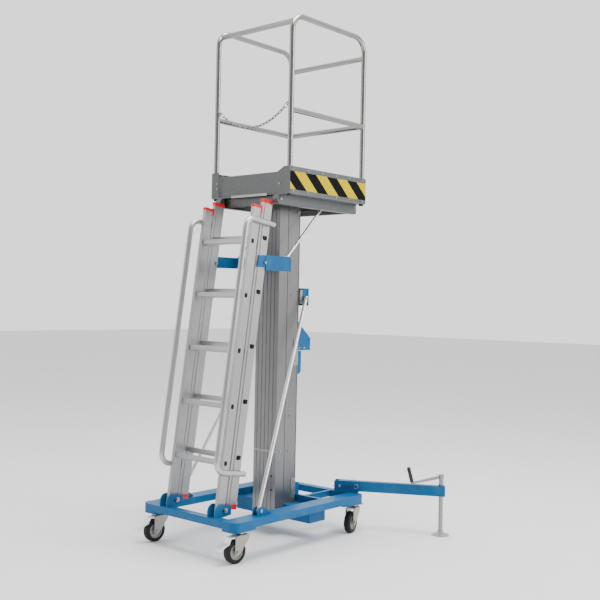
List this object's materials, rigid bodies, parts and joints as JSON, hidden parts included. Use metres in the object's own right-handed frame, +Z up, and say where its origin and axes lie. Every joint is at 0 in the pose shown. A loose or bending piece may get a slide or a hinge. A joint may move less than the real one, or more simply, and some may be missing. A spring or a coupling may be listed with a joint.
{
  "type": "mast work platform",
  "caption": "Hand-winched aluminium mast work platform on a blue caster base, with guardrails, a sliding access ladder and fold-up screw-jack outriggers.",
  "frame": {"origin": "on the floor, under the middle of the bounding box at rest", "axes": "+X to the right-hand side, +Y away from the ladder towards the outriggers, +Z up"},
  "size_m": [1.591, 1.4525, 2.9622],
  "materials": {
    "blue_paint": "gloss powder coat",
    "zinc": "zinc plated",
    "galvanised": "galvanised sheet",
    "stainless": "satin tube",
    "mast_aluminium": "anodised extrusion",
    "ladder_aluminium": "mill extrusion",
    "hazard_paint": "black and yellow stripes",
    "red_plastic": "moulded",
    "black_plastic": "moulded",
    "tyre_rubber": "moulded",
    "cable_steel": "stranded"
  },
  "bodies": {
    "base": {"base_frame": "blue_paint", "mast_cradle": "blue_paint", "ladder_foot_brackets": "blue_paint", "brace_brackets": "blue_paint", "brace_tubes": "zinc", "brace_crossbar": "blue_paint", "mast_column": "mast_aluminium", "mast_foot_brackets": "blue_paint", "mast_clamp_plates": "zinc", "base_bolts": "zinc", "winch_channel": "blue_paint", "winch_hood": "blue_paint", "lift_cable": "cable_steel", "caster_top_plates": "zinc", "outrigger_brackets": "blue_paint"},
    "winch": {"winch_drum": "zinc", "winch_crank": "zinc"},
    "winch_handle": {"winch_grip": "black_plastic"},
    "pulley": {"head_pulley": "zinc"},
    "lift": {"mast_slider": "mast_aluminium", "cable_tail": "cable_steel", "deck_plate": "galvanised", "deck_frame": "galvanised", "toe_boards": "galvanised", "hazard_bands": "hazard_paint", "guard_hoop_right": "stainless", "guard_hoop_left": "stainless", "guard_rails": "stainless", "post_plugs": "black_plastic", "ladder_yoke": "blue_paint", "yoke_struts": "zinc", "platform_hardware": "zinc"},
    "gate": {"toe_gate": "galvanised"},
    "chain": {"guard_chain": "zinc"},
    "fly_ladder": {"fly_stiles": "ladder_aluminium", "fly_rungs": "ladder_aluminium", "fly_caps": "red_plastic", "handrails": "ladder_aluminium"},
    "front_ladder": {"front_stiles": "ladder_aluminium", "front_rungs": "ladder_aluminium", "front_guides": "red_plastic", "foot_pivots": "zinc"},
    "caster_front_right": {"caster_fork_front_right": "zinc"},
    "wheel_front_right": {"caster_wheel_front_right": "tyre_rubber"},
    "pedal_front_right": {"caster_pedal_front_right": "zinc"},
    "caster_front_left": {"caster_fork_front_left": "zinc"},
    "wheel_front_left": {"caster_wheel_front_left": "tyre_rubber"},
    "pedal_front_left": {"caster_pedal_front_left": "zinc"},
    "caster_rear_right": {"caster_fork_rear_right": "zinc"},
    "wheel_rear_right": {"caster_wheel_rear_right": "tyre_rubber"},
    "caster_rear_left": {"caster_fork_rear_left": "zinc"},
    "wheel_rear_left": {"caster_wheel_rear_left": "tyre_rubber"},
    "outrigger_right": {"outrigger_arm_right": "blue_paint"},
    "foot_right": {"jack_foot_right": "zinc"},
    "screw_right": {"jack_screw_right": "zinc"},
    "grip_right": {"jack_grip_right": "black_plastic"},
    "outrigger_left": {"outrigger_arm_left": "blue_paint"},
    "foot_left": {"jack_foot_left": "zinc"},
    "screw_left": {"jack_screw_left": "zinc"},
    "grip_left": {"jack_grip_left": "black_plastic"}
  },
  "joints": [
    {"name": "mast_lift", "type": "slide", "parent": "base", "child": "lift", "axis": [0, 0, 1], "range_m": [0, 1], "deforming": ["cable_tail"]},
    {"name": "winch_turn", "type": "hinge", "parent": "base", "child": "winch", "pos_m": [0, 0.166, 1.112], "axis": [1, 0, 0], "range_deg": [0, 1750]},
    {"name": "winch_handle_spin", "type": "hinge", "parent": "winch", "child": "winch_handle", "pos_m": [0, 0.166, 1.012], "axis": [1, 0, 0], "continuous": true},
    {"name": "pulley_spin", "type": "hinge", "parent": "base", "child": "pulley", "pos_m": [0, 0.094, 1.885], "axis": [1, 0, 0], "range_deg": [-1865, 0]},
    {"name": "fly_tilt", "type": "hinge", "parent": "lift", "child": "fly_ladder", "pos_m": [0, -0.314, 1.57], "axis": [1, 0, 0], "range_deg": [0, 3.6]},
    {"name": "ladder_extend", "type": "slide", "parent": "fly_ladder", "child": "front_ladder", "axis": [0, -0.1427, -0.9898], "range_m": [0, 0.99]},
    {"name": "gate_swing", "type": "hinge", "parent": "lift", "child": "gate", "pos_m": [-0.23, -0.224, 2.02], "axis": [0, 0, 1], "range_deg": [0, 88], "stiffness_Nm_per_rad": 0.6, "springref_deg": -20.05},
    {"name": "chain_swing", "type": "hinge", "parent": "lift", "child": "chain", "pos_m": [0, -0.2174, 2.455], "axis": [1, 0, 0], "range_deg": [-45, 45]},
    {"name": "swivel_front_right", "type": "hinge", "parent": "base", "child": "caster_front_right", "pos_m": [0.318, -0.572, 0.15], "axis": [0, 0, 1], "continuous": true},
    {"name": "roll_front_right", "type": "hinge", "parent": "caster_front_right", "child": "wheel_front_right", "pos_m": [0.31382, -0.61178, 0.0625], "axis": [0.9945, -0.1045, 0], "continuous": true},
    {"name": "brake_front_right", "type": "hinge", "parent": "caster_front_right", "child": "pedal_front_right", "pos_m": [0.31319, -0.61775, 0.132], "axis": [0.9945, -0.1045, 0], "range_deg": [0, 6]},
    {"name": "swivel_front_left", "type": "hinge", "parent": "base", "child": "caster_front_left", "pos_m": [-0.318, -0.572, 0.15], "axis": [0, 0, 1], "continuous": true},
    {"name": "roll_front_left", "type": "hinge", "parent": "caster_front_left", "child": "wheel_front_left", "pos_m": [-0.32218, -0.61178, 0.0625], "axis": [0.9945, -0.1045, 0], "continuous": true},
    {"name": "brake_front_left", "type": "hinge", "parent": "caster_front_left", "child": "pedal_front_left", "pos_m": [-0.32281, -0.61775, 0.132], "axis": [0.9945, -0.1045, 0], "range_deg": [0, 6]},
    {"name": "swivel_rear_right", "type": "hinge", "parent": "base", "child": "caster_rear_right", "pos_m": [0.318, 0.382, 0.15], "axis": [0, 0, 1], "continuous": true},
    {"name": "roll_rear_right", "type": "hinge", "parent": "caster_rear_right", "child": "wheel_rear_right", "pos_m": [0.32768, 0.34319, 0.0625], "axis": [0.9703, 0.2419, 0], "continuous": true},
    {"name": "swivel_rear_left", "type": "hinge", "parent": "base", "child": "caster_rear_left", "pos_m": [-0.318, 0.382, 0.15], "axis": [0, 0, 1], "continuous": true},
    {"name": "roll_rear_left", "type": "hinge", "parent": "caster_rear_left", "child": "wheel_rear_left", "pos_m": [-0.30832, 0.34319, 0.0625], "axis": [0.9703, 0.2419, 0], "continuous": true},
    {"name": "fold_right", "type": "hinge", "parent": "base", "child": "outrigger_right", "pos_m": [0.21308, 0.38415, 0.26], "axis": [0.4787, -0.878, 0], "range_deg": [0, 70]},
    {"name": "jack_lift_right", "type": "slide", "parent": "outrigger_right", "child": "foot_right", "axis": [0, 0, 1], "range_m": [0, 0.0961]},
    {"name": "jack_turn_right", "type": "hinge", "parent": "foot_right", "child": "screw_right", "pos_m": [0.7425, 0.6728, 0.03], "axis": [0, 0, 1], "range_deg": [0, 5760]},
    {"name": "jack_grip_spin_right", "type": "hinge", "parent": "screw_right", "child": "grip_right", "pos_m": [0.61274, 0.56, 0.30793], "axis": [-0.1953, -0.1698, 0.9659], "continuous": true},
    {"name": "fold_left", "type": "hinge", "parent": "base", "child": "outrigger_left", "pos_m": [-0.21308, 0.38415, 0.26], "axis": [0.4787, 0.878, 0], "range_deg": [0, 70]},
    {"name": "jack_lift_left", "type": "slide", "parent": "outrigger_left", "child": "foot_left", "axis": [0, 0, 1], "range_m": [0, 0.0961]},
    {"name": "jack_turn_left", "type": "hinge", "parent": "foot_left", "child": "screw_left", "pos_m": [-0.7425, 0.6728, 0.03], "axis": [0, 0, 1], "range_deg": [0, 5760]},
    {"name": "jack_grip_spin_left", "type": "hinge", "parent": "screw_left", "child": "grip_left", "pos_m": [-0.61274, 0.56, 0.30793], "axis": [0.1953, -0.1698, 0.9659], "continuous": true}
  ],
  "couplings": [
    {"joint": "winch_turn", "follows": "mast_lift", "rad_per_m": 30.488},
    {"joint": "pulley_spin", "follows": "mast_lift", "rad_per_m": -32.468},
    {"joint": "fly_tilt", "follows": "mast_lift", "rad_per_m": 0.0612},
    {"joint": "ladder_extend", "follows": "mast_lift", "ratio": 0.9888},
    {"joint": "jack_lift_right", "follows": "jack_turn_right", "m_per_rad": 0.00095493},
    {"joint": "jack_lift_left", "follows": "jack_turn_left", "m_per_rad": 0.00095493}
  ]
}
